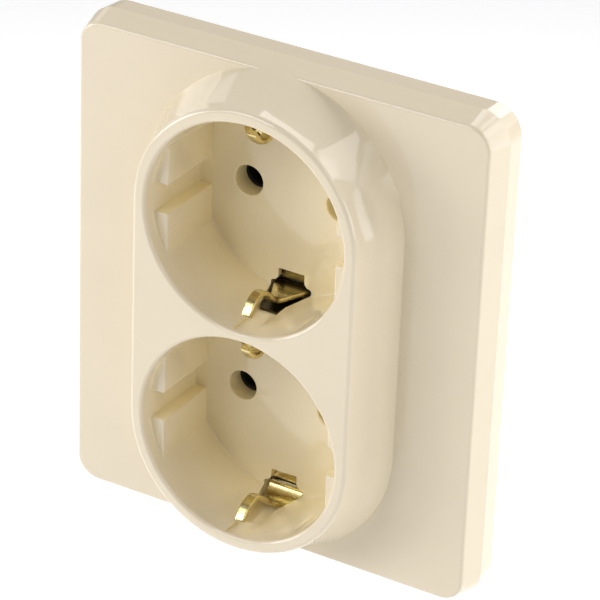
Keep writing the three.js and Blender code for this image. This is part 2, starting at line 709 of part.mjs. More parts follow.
// ---------------------------------------------------------------- terminals
// Clamp plate and screw of one terminal, drawn with the screw along -y and the tab's face at y = 0.
function terminal(pole, halfWidth) {
  const group = new THREE.Group();
  const plate = cut(
    box(-halfWidth, halfWidth, TERMINAL_OPEN, TERMINAL_OPEN + CLAMP_THICK, -3.6, 3.6),
    barY(0, 0, 2, 0, TERMINAL_OPEN + CLAMP_THICK + CUT, 16),
  );
  group.add(meshOf(`${pole}_clamp`, plate, ZINC_STEEL));
  const screw = crossScrew(`${pole}_terminal_screw`, 2.8, 2, 1.6, 6.4, ZINC_STEEL);
  screw.rotation.z = Math.PI;
  screw.position.y = TERMINAL_OPEN + CLAMP_THICK + GAP;
  group.add(screw);
  return group;
}

function terminals() {
  const group = new THREE.Group();
  const tabFace = TERMINAL_TAB + TERMINAL_TAB_THICK;
  for (const [pole, sx] of [["line", -1], ["neutral", 1]]) {
    const made = terminal(pole, CLAMP_HALF_WIDTH);
    made.rotation.set(0, Math.PI / 2, (-sx * Math.PI) / 2, "ZYX");
    made.position.set(sx * tabFace, TERMINAL_Y, 0);
    group.add(made);
  }
  const earth = terminal("earth", EARTH_CLAMP_HALF_WIDTH);
  earth.rotation.x = -Math.PI / 2;
  earth.position.set(0, EARTH_TERMINAL_Y, -EARTH_TAB_Z - TERMINAL_TAB_THICK);
  group.add(earth);
  return group;
}

// ---------------------------------------------------------------- insert housing
function housingSlab(y0, y1) {
  return slab(roundedRectShape(HOUSING_WIDTH, HOUSING_HEIGHT, HOUSING_CORNER), y0, y1);
}

function baseHousing() {
  const inside = HOUSING_FRONT + HOUSING_WALL;
  const back = HOUSING_BACK + CUT;
  let housing = housingSlab(HOUSING_FRONT, HOUSING_BACK);
  for (const sx of [-1, 1]) {
    const chamber = span(sx, CHAMBER_INNER, CHAMBER_OUTER);
    const bay = span(sx, TERMINAL_BAY_INNER, HOUSING_WIDTH / 2 + CUT);
    housing = cut(
      housing,
      box(...chamber, inside, back, -CHAMBER_HALF_HEIGHT, CHAMBER_HALF_HEIGHT),
      box(...bay, inside, back, -TERMINAL_BAY_HALF_HEIGHT, TERMINAL_BAY_HALF_HEIGHT),
      barY(0, sx * HOUSING_RIVET_Z, HOUSING_RIVET_HOLE, HOUSING_FRONT - CUT, back, 16),
    );
  }
  for (const [x, z] of pinPlaces()) {
    housing = cut(housing, barY(x, z, 3, HOUSING_FRONT - CUT, inside + CUT, 24));
  }
  const lowerScrewZ = coverScrewPlaces()[1];
  // earth terminal bay, open to the bottom, the slot that lets its tab in, and the lower cover screw's room
  return meshOf("base_housing", cut(
    housing,
    box(-3.9, 3.9, inside, back, -HOUSING_HEIGHT / 2 - CUT, -EARTH_TAB_Z + 4.2),
    box(-3.8, 3.8, HOUSING_FRONT - CUT, inside + CUT,
      -EARTH_TAB_Z - TERMINAL_TAB_THICK - 0.4, -EARTH_TAB_Z + 0.4),
    barY(COVER_SCREW_X, lowerScrewZ, 2.2, HOUSING_FRONT - CUT, inside + 4, 16),
  ), BLACK_PLASTIC);
}

function rearCover() {
  const front = HOUSING_BACK + GAP;
  const hole = (x, z, radius) => barY(x, z, radius, front - CUT, front + REAR_COVER_THICK + CUT, 16);
  const wireX = TERMINAL_TAB + TERMINAL_TAB_THICK + TERMINAL_OPEN / 2;
  const earthZ = -EARTH_TAB_Z - TERMINAL_TAB_THICK - TERMINAL_OPEN / 2;
  let cover = housingSlab(front, front + REAR_COVER_THICK);
  for (const sign of [-1, 1]) {
    cover = cut(
      cover,
      hole(sign * wireX, -3.4, 1.7),
      hole(sign * wireX, 3.4, 1.7),
      hole(sign * 2.5, earthZ, 1.15),
      hole(0, sign * HOUSING_RIVET_Z, HOUSING_RIVET_HOLE),
    );
  }
  return meshOf("rear_cover", cover, BLACK_PLASTIC);
}

// ---------------------------------------------------------------- assembly
const outlet = new THREE.Group();
outlet.add(
  frontCover(),
  coverScrews(),
  mountingStrap(),
  claws(),
  rivets(),
  earthBridge(),
  earthClips(),
  baseHousing(),
  rearCover(),
  busBar("line_bus", -1),
  busBar("neutral_bus", 1),
  contactLeaves(),
  terminals(),
);

export default outlet;
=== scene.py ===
"""Looks for the double earthed wall outlet. Shapes are built in millimetres in the CAD frame: the wall
is y = 0, the room is on its -y side, +z is up. Each finished mesh is scaled to metres once."""
import json
import math

import bmesh
import bpy
from mathutils import Matrix, Vector


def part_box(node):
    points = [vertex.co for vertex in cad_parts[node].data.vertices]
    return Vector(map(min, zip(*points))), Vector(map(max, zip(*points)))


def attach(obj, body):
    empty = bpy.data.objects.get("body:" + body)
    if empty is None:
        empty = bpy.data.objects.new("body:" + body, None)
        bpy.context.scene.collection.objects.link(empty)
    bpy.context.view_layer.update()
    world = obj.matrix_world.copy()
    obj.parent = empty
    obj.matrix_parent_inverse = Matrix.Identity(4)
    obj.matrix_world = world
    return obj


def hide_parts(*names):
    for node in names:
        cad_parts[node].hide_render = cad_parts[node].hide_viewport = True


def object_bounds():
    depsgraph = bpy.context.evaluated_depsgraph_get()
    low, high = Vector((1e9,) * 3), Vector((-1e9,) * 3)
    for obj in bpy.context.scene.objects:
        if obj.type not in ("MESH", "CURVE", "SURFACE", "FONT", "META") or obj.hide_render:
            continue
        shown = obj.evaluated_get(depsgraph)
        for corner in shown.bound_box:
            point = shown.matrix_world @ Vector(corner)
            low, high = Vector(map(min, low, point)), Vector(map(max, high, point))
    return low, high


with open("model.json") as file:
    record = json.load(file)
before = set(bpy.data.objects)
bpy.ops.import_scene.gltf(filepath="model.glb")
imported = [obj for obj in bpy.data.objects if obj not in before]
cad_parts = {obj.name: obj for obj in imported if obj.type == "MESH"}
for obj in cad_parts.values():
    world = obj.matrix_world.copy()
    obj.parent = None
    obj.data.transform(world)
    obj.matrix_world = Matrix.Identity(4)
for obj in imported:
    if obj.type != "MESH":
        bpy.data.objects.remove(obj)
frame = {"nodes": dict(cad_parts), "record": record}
cad_low, cad_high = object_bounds()

MM = 0.001

# ---------------------------------------------------------------- front cover, sizes as in the CAD model
PLATE_WIDTH = 82.7
PLATE_HEIGHT = 94.1
PLATE_CORNER = 4.5
PLATE_FRONT = -9.85
PLATE_ROUND = 0.65
PLATE_WAIST = -4.75
WAIST_GROWTH = 1.2
# The plate's widest line is rounded: each ring's inset, and its distance along y from that line.
WAIST_ROUND = ((0.1, -0.38), (0.025, -0.12), (0, 0), (0.05, 0.12))
BACK_GROWTH = 0.85
BACK_BEVEL = 0.12
BACK_BEVEL_DEPTH = 0.15
PLATE_WALL = 2
CAVITY_CORNER = 3.5
BOSS_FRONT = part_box("front_cover")[0].y / MM
BOSS_ROUND = 0.9
BOSS_FRONT_RADIUS = 22.7
BOSS_BASE_RADIUS = 26.1
BOSS_FLARE = 1.2
BOSS_SINK = 1.1
BOSS_WALL = 1.8
BOSS_CAVITY_FRONT = -17.2
BOSS_CAVITY_SPREAD = 0.9
WELL_Z = 21
WELL_RADIUS = 20.1
WELL_FLOOR_RADIUS = 19.65
WELL_TUBE_RADIUS = 21.5
WELL_RIM_ROUND = 0.7
FLOOR_CORNER = 0.35
FLOOR_FRONT = -3.1
FLOOR_BACK = -1.1
GUIDE_FACE = 17.05
GUIDE_FRONT = -18
GUIDE_GAP = 5.6
GUIDE_REACH = 11.5
GUIDE_ROUND = 0.35
GUIDE_WALL_SINK = 0.6
GUIDE_FLOOR_SINK = 0.4
PIN_OFFSET = 9.5
PIN_HOLE_RADIUS = 2.9
PIN_HOLE_ROUND = 0.3
COLLAR_RADIUS = 4.3
COLLAR_BACK = 0.9
COVER_SCREW_X = -7.3
COVER_SCREW_RISE = 11
COVER_SCREW_HOLE = 1.8

# how far a cutter passes the face it cuts, a joined solid enters its neighbour, and two cutters overlap
CUT = 1
JOIN = 0.5
OVERLAP = 0.1

# earth contacts: heights are from the well's middle, and depths from the wall
CLIP_THICK = 1
CLIP_WIDTH = 2
CLIP_ROOT_WIDTH = 7.6
CLIP_TAPER_START = -8.9
CLIP_TAPER = 6.3
WINDOW_INNER = 15.5
WINDOW_STEP = 18.1
WINDOW_CHAMFER = 0.3
WINDOW_WIDTH = 5.4
WINDOW_ROOT_WIDTH = 8.4
CHANNEL_WIDTH = 4.4
CHANNEL_DEPTH = 20.45
CHANNEL_FRONT = -20.1
CHANNEL_ROUND = 0.25
SLOT_LEAD = 0.8
SLOT_END = -14.7
SLOT_TAPER = 6
SLOT_LEAN = 0.6
OUTER_POCKET_BACK = 21.7
MIDDLE_POCKET_BACK = WELL_Z - 0.4
POCKET_WALL = 0.9
POCKET_WALL_SINK = 0.3
POCKET_WALL_SIDE = 1
# a dark sheet in each middle pocket, put there as painted shade: its gap, back, front and faces
SHADE_SHEET_GAP = 0.15
SHADE_SHEET_BACK = -3.3
SHADE_SHEET_FRONT = -10.5
SHADE_SHEET_FACES = (20.1, 20.5)

# screws: head radius, head height, shank radius
COVER_SCREW = (2.9, 1.7, 1.5)
CLAW_SCREW = (2.7, 1.9, 1.5)
TERMINAL_SCREW = (2.8, 2, 1.6)
THREAD_PITCH = 0.7
THREAD_DEPTH = 0.22
THREAD_START = 0.25
THREAD_END = 0.3
# a thread ring's crest lies between these shares of the pitch
THREAD_CREST = (0.4, 0.55)
SCREW_POINT = 0.45
HEAD_CROWN = 0.62
# the lower edge of a head: how far each ring lies outside the head's radius, and its y
HEAD_EDGE = ((0, -0.18), (-0.14, -0.03), (-0.3, 0))
# the cross recess from its mouth to its bottom: an arm's reach as a share of the head, and its half width
CROSS_ARMS = ((0.66, 0.44), (0.62, 0.36), (0.3, 0.2))
CROSS_LIP = 0.1
CROSS_DEPTH = 0.62
# how far the cross of each screw is turned, in radians
COVER_SCREW_TURNS = (("upper", 0.7), ("lower", 1.05))
CLAW_SCREW_TURNS = (("left", 0.3), ("right", 0.9))
TERMINAL_SCREW_TURN = 0.5

# live contacts
LEAF_THICK = 0.6
LEAF_WIDTH = 6
LEAF_OFFSET = 3
BUS_FRONT = 16.5

# rounding of the edges of moulded, stamped and turned inner parts
MOULDED_EDGE = 0.25
STAMPED_EDGE = 0.12
TURNED_EDGE = 0.15

# Centre lines in y and z of the earth contacts' spring arms, for the side towards +z of a well.
MIDDLE_CLIP_LINE = [
    (-1.5, 18.5), (-1.9, 18.75), (-2.8, 18.9), (-5.5, 18.9), (-8.4, 18.85), (-10.3, 17.7),
    (-12.2, 15.9), (-14.3, 14.95), (-16.3, 15.4), (-17.6, 16.6), (-18.4, 17.9),
]
OUTER_CLIP_LINE = [
    (-1.5, 18.6), (-1.8, 19.7), (-3.4, 20.8), (-5.8, 20.7), (-7.8, 19.6), (-10.1, 17.7),
    (-12.2, 16.1), (-14.1, 15.2), (-16.3, 15.7), (-17.7, 16.9), (-18.6, 18.1),
]
# Centre line in x and y of a leaf beside a pin, for the side towards +x.
LEAF_LINE = [(0, -0.4), (0, -2.2), (-0.35, -4.2), (-0.55, -6), (-0.4, -7.6), (0.3, -9.2)]

# fineness
CORNER_STEPS = 14
STADIUM_STEPS = 72
WELL_STEPS = 144
WELL_RIM_STEPS = 7
BOSS_ROUND_STEPS = 8
BOSS_SIDE_STEPS = 10
ROUND_STEPS = 5
PIN_HOLE_STEPS = 64
PIN_HOLE_ROUND_STEPS = 4
BAR_STEPS = 48
HEAD_STEPS = 9
STRIP_STEPS = 56
STRIP_CORNER_STEPS = 4
# the ring at each end of a strip, and the one beside it, shrink to these shares of its section
STRIP_ENDS = (0.86, 0.97)

# Plastic is painted yellower and brighter where other faces lie within the reach, in metres, as painted
# shade. The range is of openness, 0 to 1.
PAINTED_SHADE_REACH = 0.03
PAINTED_SHADE_RANGE = (0.1, 0.85)
# where brass is painted dark as painted shade: the fade with distance from the cover's middle height, and
# with depth, in metres
SHADE_HEIGHT_RANGE = (0.009, 0.0075)
SHADE_DEPTH_RANGE = (-0.0044, -0.0032)


# ---------------------------------------------------------------- mesh tools
def object_of(name, mesh):
    made = bpy.data.objects.new(name, mesh)
    bpy.context.scene.collection.objects.link(made)
    return made


def solid(vertices, faces, name="solid"):
    mesh = bpy.data.meshes.new(name)
    mesh.from_pydata([tuple(v) for v in vertices], [], faces)
    bm = bmesh.new()
    bm.from_mesh(mesh)
    bmesh.ops.remove_doubles(bm, verts=bm.verts, dist=1e-4)
    bmesh.ops.recalc_face_normals(bm, faces=bm.faces)
    bm.to_mesh(mesh)
    bm.free()
    return object_of(name, mesh)


def loft(rings):
    """A closed skin over rings of equal point count, capped at both ends."""
    count = len(rings[0])
    vertices = [p for ring in rings for p in ring]
    faces = []
    for r in range(len(rings) - 1):
        for i in range(count):
            a = r * count + i
            b = r * count + (i + 1) % count
            faces.append((a, b, b + count, a + count))
    faces.append(tuple(range(count)))
    faces.append(tuple(range((len(rings) - 1) * count, len(rings) * count)))
    return solid(vertices, faces)


def boolean(target, operation, *others):
    for other in others:
        step = target.modifiers.new("step", "BOOLEAN")
        step.object = other
        step.operation = operation
        step.solver = "MANIFOLD"
        bake(target)
        bpy.data.objects.remove(other)
    return target


def join(target, *others):
    return boolean(target, "UNION", *others)


def cut(target, *others):
    return boolean(target, "DIFFERENCE", *others)


def common(target, other):
    return boolean(target, "INTERSECT", other)


def bake(target):
    """Applies the object's modifiers to its mesh."""
    bpy.context.view_layer.update()
    graph = bpy.context.evaluated_depsgraph_get()
    mesh = bpy.data.meshes.new_from_object(target.evaluated_get(graph))
    target.modifiers.clear()
    target.data = mesh


def moved(target, turn, z=0.0):
    """Turns about the y axis, then shifts along z."""
    target.data.transform(Matrix.Translation((0, 0, z)) @ Matrix.Rotation(turn, 4, "Y"))
    return target


def box(x0, x1, y0, y1, z0, z1, rounding=0.0):
    low_x, high_x = sorted((x0, x1))
    low_z, high_z = sorted((z0, z1))
    ring = [(low_x, low_z), (high_x, low_z), (high_x, high_z), (low_x, high_z)]
    made = loft([[(x, y, z) for x, z in ring] for y in (y0, y1)])
    if rounding:
        bm = bmesh.new()
        bm.from_mesh(made.data)
        bmesh.ops.bevel(bm, geom=bm.edges, offset=rounding, segments=4, profile=0.5, affect="EDGES")
        bm.to_mesh(made.data)
        bm.free()
    return made


def circle(x, z, radius, y, steps):
    angles = [2 * math.pi * i / steps for i in range(steps)]
    return [(x + radius * math.cos(a), y, z + radius * math.sin(a)) for a in angles]


def bar(x, z, radius, y0, y1, steps=BAR_STEPS):
    return loft([circle(x, z, radius, y0, steps), circle(x, z, radius, y1, steps)])


def turned(profile, steps, x=0.0, z=0.0):
    """A profile of (radius, y) pairs turned about the y axis; its ends may lie on the axis."""
    rings = [circle(x, z, max(radius, 1e-3), y, steps) for radius, y in profile]
    return loft(rings)


def rounded_rect(width, height, radius, y):
    ring = []
    for sx, sz, start in ((1, 1, 0), (-1, 1, 90), (-1, -1, 180), (1, -1, 270)):
        for i in range(CORNER_STEPS + 1):
            a = math.radians(start + 90 * i / CORNER_STEPS)
            x = sx * (width / 2 - radius) + radius * math.cos(a)
            z = sz * (height / 2 - radius) + radius * math.sin(a)
            ring.append((x, y, z))
    return ring


def stadium(spacing, radius, y):
    ring = []
    for sz, start in ((1, 0), (-1, 180)):
        for i in range(STADIUM_STEPS + 1):
            a = math.radians(start + 180 * i / STADIUM_STEPS)
            ring.append((radius * math.cos(a), y, sz * spacing / 2 + radius * math.sin(a)))
    return ring


def quarter(steps=ROUND_STEPS):
    """Angles from 0 to a quarter turn."""
    return [math.pi / 2 * i / steps for i in range(steps + 1)]


def prism(outline, y0, y1):
    """An outline of (x, z) points, which may be hollow-cornered, between two depths."""
    bm = bmesh.new()
    front = [bm.verts.new((x, y0, z)) for x, z in outline]
    face = bm.faces.new(front)
    grown = bmesh.ops.extrude_face_region(bm, geom=[face])
    back = [g for g in grown["geom"] if isinstance(g, bmesh.types.BMVert)]
    bmesh.ops.translate(bm, verts=back, vec=(0, y1 - y0, 0))
    bmesh.ops.triangulate(bm, faces=bm.faces)
    bmesh.ops.recalc_face_normals(bm, faces=bm.faces)
    mesh = bpy.data.meshes.new("prism")
    bm.to_mesh(mesh)
    bm.free()
    return object_of("prism", mesh)


def finished(target, name, body, material, node=None, smooth=32):
    """Scales a made shape to metres, smooths it, and puts it on its body, in place of its CAD node if it
    has one."""
    target.name = name
    target.data.name = name
    target.data.transform(Matrix.Scale(MM, 4))
    target.data.shade_smooth()
    target.data.set_sharp_from_angle(angle=math.radians(smooth))
    normals = target.modifiers.new("normals", "WEIGHTED_NORMAL")
    normals.keep_sharp = True
    bake(target)
    target.data.materials.clear()
    target.data.materials.append(material)
    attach(target, body)
    if node:
        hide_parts(node)


# ---------------------------------------------------------------- material tools
class Nodes:
    """A material's node tree with short calls for its usual nodes."""

    def __init__(self, name):
        self.material = bpy.data.materials.new(name)
        self.material.use_nodes = True
        self.tree = self.material.node_tree
        self.shader = self.tree.nodes["Principled BSDF"]
        place = self.tree.nodes.new("ShaderNodeTexCoord")
        self.place = place.outputs["Object"]

    def link(self, output, socket):
        self.tree.links.new(output, socket)

    def set(self, **values):
        for name, value in values.items():
            self.shader.inputs[name.replace("_", " ")].default_value = value

    def stretched(self, x, y, z):
        node = self.tree.nodes.new("ShaderNodeMapping")
        node.inputs["Scale"].default_value = (x, y, z)
        self.link(self.place, node.inputs["Vector"])
        return node.outputs["Vector"]

    def noise(self, scale, detail, vector=None):
        node = self.tree.nodes.new("ShaderNodeTexNoise")
        node.inputs["Scale"].default_value = scale
        node.inputs["Detail"].default_value = detail
        node.inputs["Roughness"].default_value = 0.55
        self.link(vector or self.place, node.inputs["Vector"])
        return node.outputs["Fac"]

    def cells(self, scale):
        """The distance from the middle of the cell that a place lies in."""
        node = self.tree.nodes.new("ShaderNodeTexVoronoi")
        node.inputs["Scale"].default_value = scale
        self.link(self.place, node.inputs["Vector"])
        return node.outputs["Distance"]

    def ramp(self, value, stops):
        """Maps a value to the colours or greys of the stops, given as (place, colour)."""
        node = self.tree.nodes.new("ShaderNodeValToRGB")
        while len(node.color_ramp.elements) < len(stops):
            node.color_ramp.elements.new(0.5)
        for element, (place, colour) in zip(node.color_ramp.elements, stops):
            element.position = place
            element.color = (*colour, 1) if hasattr(colour, "__len__") else (colour, colour, colour, 1)
        self.link(value, node.inputs["Fac"])
        return node.outputs["Color"]

    def reckon(self, operation, *values):
        """A maths node over outputs and plain numbers."""
        node = self.tree.nodes.new("ShaderNodeMath")
        node.operation = operation
        for socket, value in zip(node.inputs, values):
            if isinstance(value, bpy.types.NodeSocket):
                self.link(value, socket)
            else:
                socket.default_value = value
        return node.outputs["Value"]

    def fade(self, value, start, end):
        """0 at the start value and before, 1 at the end value and after."""
        node = self.tree.nodes.new("ShaderNodeMapRange")
        node.interpolation_type = "SMOOTHSTEP"
        self.link(value, node.inputs["Value"])
        node.inputs["From Min"].default_value = start
        node.inputs["From Max"].default_value = end
        return node.outputs["Result"]

    def mixed(self, share, first, second):
        """A colour between two colour outputs."""
        node = self.tree.nodes.new("ShaderNodeMix")
        node.data_type = "RGBA"
        self.link(share, node.inputs["Factor"])
        for socket, colour in zip(node.inputs[6:8], (first, second)):
            self.link(colour, socket)
        return node.outputs[2]

    def openness(self, reach):
        """1 on open faces, falling towards 0 in recesses and corners."""
        node = self.tree.nodes.new("ShaderNodeAmbientOcclusion")
        node.samples = 4
        node.inputs["Distance"].default_value = reach
        return node.outputs["AO"]

    def bump(self, *layers):
        """Stacks bumps, each given as (height output, strength, distance in metres)."""
        normal = None
        for height, strength, distance in layers:
            node = self.tree.nodes.new("ShaderNodeBump")
            node.inputs["Strength"].default_value = strength
            node.inputs["Distance"].default_value = distance
            self.link(height, node.inputs["Height"])
            if normal:
                self.link(normal, node.inputs["Normal"])
            normal = node.outputs["Normal"]
        self.link(normal, self.shader.inputs["Normal"])


def middle_painted_shade(n):
    """1 behind the wells' floors near the middle of the cover, and 0 elsewhere. It marks where brass is
    painted dark as painted shade: the roots of the two middle earth contacts and every other brass part at
    that height."""
    place = n.tree.nodes.new("ShaderNodeSeparateXYZ")
    n.link(n.place, place.inputs["Vector"])
    near = n.fade(n.reckon("ABSOLUTE", place.outputs["Z"]), *SHADE_HEIGHT_RANGE)
    deep = n.fade(place.outputs["Y"], *SHADE_DEPTH_RANGE)
    return n.reckon("MULTIPLY", near, deep)


def ivory_moulding():
    """Glossy ivory plastic with faint flow mottling and fine orange peel. Its recesses and corners are
    painted a yellower, brighter colour than its open faces, as painted shade."""
    n = Nodes("ivory_moulding")
    flow = n.noise(55, 4)
    recess_painted_shade = n.ramp(flow, [(0.3, (0.95, 0.825, 0.51)), (0.7, (0.965, 0.845, 0.53))])
    open_face = n.ramp(flow, [(0.3, (0.63, 0.549, 0.417)), (0.7, (0.65, 0.565, 0.432))])
    # painted shade: the recess colour takes over where surrounding faces close in
    share = n.fade(n.openness(PAINTED_SHADE_REACH), *PAINTED_SHADE_RANGE)
    n.link(n.mixed(share, recess_painted_shade, open_face), n.shader.inputs["Base Color"])
    n.link(n.ramp(n.noise(300, 3), [(0.35, 0.04), (0.7, 0.08)]), n.shader.inputs["Roughness"])
    n.bump(
        (n.noise(1800, 2), 0.05, 0.00002),
        (n.noise(160, 2), 0.08, 0.00008),
    )
    n.set(IOR=1.5)
    return n.material


def dark_moulding():
    """Dark thermoset of the insert with a fine eroded texture."""
    n = Nodes("dark_moulding")
    n.link(n.ramp(n.noise(220, 4), [(0.3, (0.022, 0.022, 0.024)), (0.7, (0.038, 0.037, 0.036))]),
           n.shader.inputs["Base Color"])
    n.link(n.ramp(n.noise(900, 3), [(0.3, 0.42), (0.7, 0.62)]), n.shader.inputs["Roughness"])
    n.bump((n.noise(5200, 4), 0.35, 0.00003))
    return n.material


def brass_sheet():
    """Rolled brass: fine rolling lines across the strip, slight tarnish and satin wear. Behind the wells'
    floors near the middle it is painted dark, as painted shade.
    """
    n = Nodes("brass_sheet")
    lines = n.noise(1, 4, n.stretched(300, 9000, 9000))
    tarnish = n.noise(420, 4)
    clean = n.ramp(tarnish, [(0.3, (0.50, 0.40, 0.17)), (0.62, (0.70, 0.60, 0.30))])
    painted_dark = n.ramp(tarnish, [(0.3, (0.05, 0.04, 0.02)), (0.62, (0.13, 0.10, 0.04))])
    # painted shade: brass deep behind the wells' floors near the middle takes the dark colour
    n.link(n.mixed(middle_painted_shade(n), clean, painted_dark), n.shader.inputs["Base Color"])
    n.link(n.ramp(lines, [(0.3, 0.2), (0.75, 0.38)]), n.shader.inputs["Roughness"])
    n.bump((lines, 0.12, 0.00002), (n.noise(900, 3), 0.1, 0.00004))
    n.set(Metallic=1.0)
    return n.material


def painted_shade_brass():
    """Dark brown brass with a few olive spots, for sheets put in as painted shade."""
    n = Nodes("painted_shade_brass")
    n.link(n.ramp(n.noise(420, 4), [(0.35, (0.03, 0.022, 0.012)), (0.75, (0.10, 0.08, 0.03))]),
           n.shader.inputs["Base Color"])
    n.link(n.ramp(n.noise(1500, 3), [(0.3, 0.3), (0.7, 0.5)]), n.shader.inputs["Roughness"])
    n.bump((n.noise(900, 3), 0.1, 0.00004))
    n.set(Metallic=1.0)
    return n.material


def zinc_steel():
    """Bright zinc plating on rolled steel, with a faint spangle and drawing lines."""
    n = Nodes("zinc_steel")
    n.link(n.ramp(n.cells(340), [(0.0, (0.60, 0.62, 0.65)), (0.8, (0.46, 0.48, 0.51))]),
           n.shader.inputs["Base Color"])
    lines = n.noise(1, 3, n.stretched(5200, 900, 260))
    n.link(n.ramp(lines, [(0.3, 0.24), (0.75, 0.42)]), n.shader.inputs["Roughness"])
    n.bump((lines, 0.12, 0.00002))
    n.set(Metallic=1.0)
    return n.material


def yellow_steel():
    """Yellow-passivated screw: an uneven gold film over steel with turned marks."""
    n = Nodes("yellow_steel")
    film = n.noise(1300, 4)
    golds = [(0.3, (0.55, 0.42, 0.13)), (0.55, (0.78, 0.66, 0.30)), (0.75, (0.80, 0.74, 0.48))]
    n.link(n.ramp(film, golds), n.shader.inputs["Base Color"])
    n.link(n.ramp(n.noise(3200, 3), [(0.3, 0.16), (0.7, 0.36)]), n.shader.inputs["Roughness"])
    n.bump((n.noise(2600, 3), 0.25, 0.00003))
    n.set(Metallic=1.0)
    return n.material


IVORY = ivory_moulding()
DARK = dark_moulding()
BRASS = brass_sheet()
SHADE_BRASS = painted_shade_brass()
ZINC = zinc_steel()
YELLOW = yellow_steel()
FINISHES = {"dark_moulding": DARK, "brass_sheet": BRASS, "zinc_steel": ZINC}


# ---------------------------------------------------------------- front cover
def plate_body():
    def ring(growth, y):
        return rounded_rect(PLATE_WIDTH + 2 * growth, PLATE_HEIGHT + 2 * growth, PLATE_CORNER + growth, y)

    rings = [
        ring(PLATE_ROUND * (math.sin(a) - 1), PLATE_FRONT + PLATE_ROUND * (1 - math.cos(a)))
        for a in quarter()
    ]
    rings += [ring(WAIST_GROWTH - inset, PLATE_WAIST + shift) for inset, shift in WAIST_ROUND]
    rings += [ring(BACK_GROWTH, -BACK_BEVEL_DEPTH), ring(BACK_GROWTH - BACK_BEVEL, 0)]
    return loft(rings)


def plate_cavity():
    shrink = 2 * (PLATE_WALL - BACK_GROWTH)

    def ring(y):
        return rounded_rect(PLATE_WIDTH - shrink, PLATE_HEIGHT - shrink, CAVITY_CORNER, y)

    return loft([ring(PLATE_FRONT + PLATE_WALL), ring(CUT)])


def boss_body():
    rings = [
        stadium(2 * WELL_Z, BOSS_FRONT_RADIUS + BOSS_ROUND * (math.sin(a) - 1),
                BOSS_FRONT + BOSS_ROUND * (1 - math.cos(a)))
        for a in quarter(BOSS_ROUND_STEPS)
    ]
    start = BOSS_FRONT + BOSS_ROUND
    spread = BOSS_BASE_RADIUS - BOSS_FRONT_RADIUS
    for i in range(1, BOSS_SIDE_STEPS + 1):
        part = i / BOSS_SIDE_STEPS
        radius = BOSS_FRONT_RADIUS + spread * part**BOSS_FLARE
        rings.append(stadium(2 * WELL_Z, radius, start + part * (PLATE_FRONT - start)))
    rings.append(stadium(2 * WELL_Z, BOSS_BASE_RADIUS, PLATE_FRONT + BOSS_SINK))
    return loft(rings)


def boss_cavity():
    return loft([
        stadium(2 * WELL_Z, BOSS_FRONT_RADIUS - BOSS_WALL + BOSS_CAVITY_SPREAD, BOSS_CAVITY_FRONT),
        stadium(2 * WELL_Z, BOSS_BASE_RADIUS - BOSS_WALL, PLATE_FRONT + PLATE_WALL + OVERLAP),
    ])


def well_cutter(z):
    rim = [
        (WELL_RADIUS + WELL_RIM_ROUND * (1 - math.sin(a)),
         BOSS_FRONT + WELL_RIM_ROUND * (1 - math.cos(a)))
        for a in quarter(WELL_RIM_STEPS)
    ]
    corner = [
        (WELL_FLOOR_RADIUS - FLOOR_CORNER * (1 - math.cos(a)),
         FLOOR_FRONT - FLOOR_CORNER * (1 - math.sin(a)))
        for a in quarter()
    ]
    mouth = (WELL_RADIUS + WELL_RIM_ROUND, BOSS_FRONT - CUT)
    return turned([(0, BOSS_FRONT - CUT), mouth, *rim, *corner, (0, FLOOR_FRONT)], WELL_STEPS, z=z)


def guide_block(sx, sz, z):
    """One guide block, with its outer side cut to the well's round wall."""
    core = bar(0, z, WELL_RADIUS + GUIDE_WALL_SINK,
               GUIDE_FRONT - CUT, FLOOR_FRONT + GUIDE_FLOOR_SINK, WELL_STEPS)
    block = box(sx * GUIDE_FACE, sx * (WELL_TUBE_RADIUS + 2 * CUT), GUIDE_FRONT, FLOOR_FRONT + CUT,
                z + sz * GUIDE_GAP / 2, z + sz * GUIDE_REACH, GUIDE_ROUND)
    return common(block, core)


def window_outline(outer):
    """The stepped window of an earth contact, with rounded inside corners at the step."""
    narrow = WINDOW_WIDTH / 2
    wide = WINDOW_ROOT_WIDTH / 2
    step = wide - narrow - WINDOW_CHAMFER
    right = [(narrow, WINDOW_INNER)]
    right += [
        (narrow + step * (1 - math.cos(a)), WINDOW_STEP - step + step * math.sin(a))
        for a in quarter()
    ]
    right += [(wide, WINDOW_STEP + WINDOW_CHAMFER), (wide, outer)]
    return right + [(-x, z) for x, z in reversed(right)]


def pocket_wall():
    """The wall that closes an outer contact's pocket behind its arm, for the side towards +z."""
    half = WINDOW_ROOT_WIDTH / 2 + POCKET_WALL_SIDE
    return box(-half, half, BOSS_CAVITY_FRONT + JOIN, FLOOR_FRONT + JOIN,
               WELL_RADIUS + POCKET_WALL_SINK, OUTER_POCKET_BACK + POCKET_WALL)


def contact_cutters(outer):
    """Window, slot behind the arm, and channel for the arm's tip, for the side towards +z."""
    wide = WINDOW_ROOT_WIDTH / 2
    half = CHANNEL_WIDTH / 2
    inner = WINDOW_STEP - SLOT_LEAD
    window = prism(window_outline(outer), FLOOR_FRONT - OVERLAP, FLOOR_BACK + CUT)
    slot_outline = [
        (-wide, FLOOR_FRONT), (-half, SLOT_END + SLOT_TAPER), (-half, SLOT_END),
        (half, SLOT_END), (half + SLOT_LEAN, SLOT_END + SLOT_TAPER), (wide, FLOOR_FRONT),
    ]
    slot = loft([[(x, y, z) for x, y in slot_outline] for z in (inner, outer)])
    channel = box(-half, half, CHANNEL_FRONT, SLOT_END + OVERLAP, inner, CHANNEL_DEPTH, CHANNEL_ROUND)
    return [window, slot, channel]


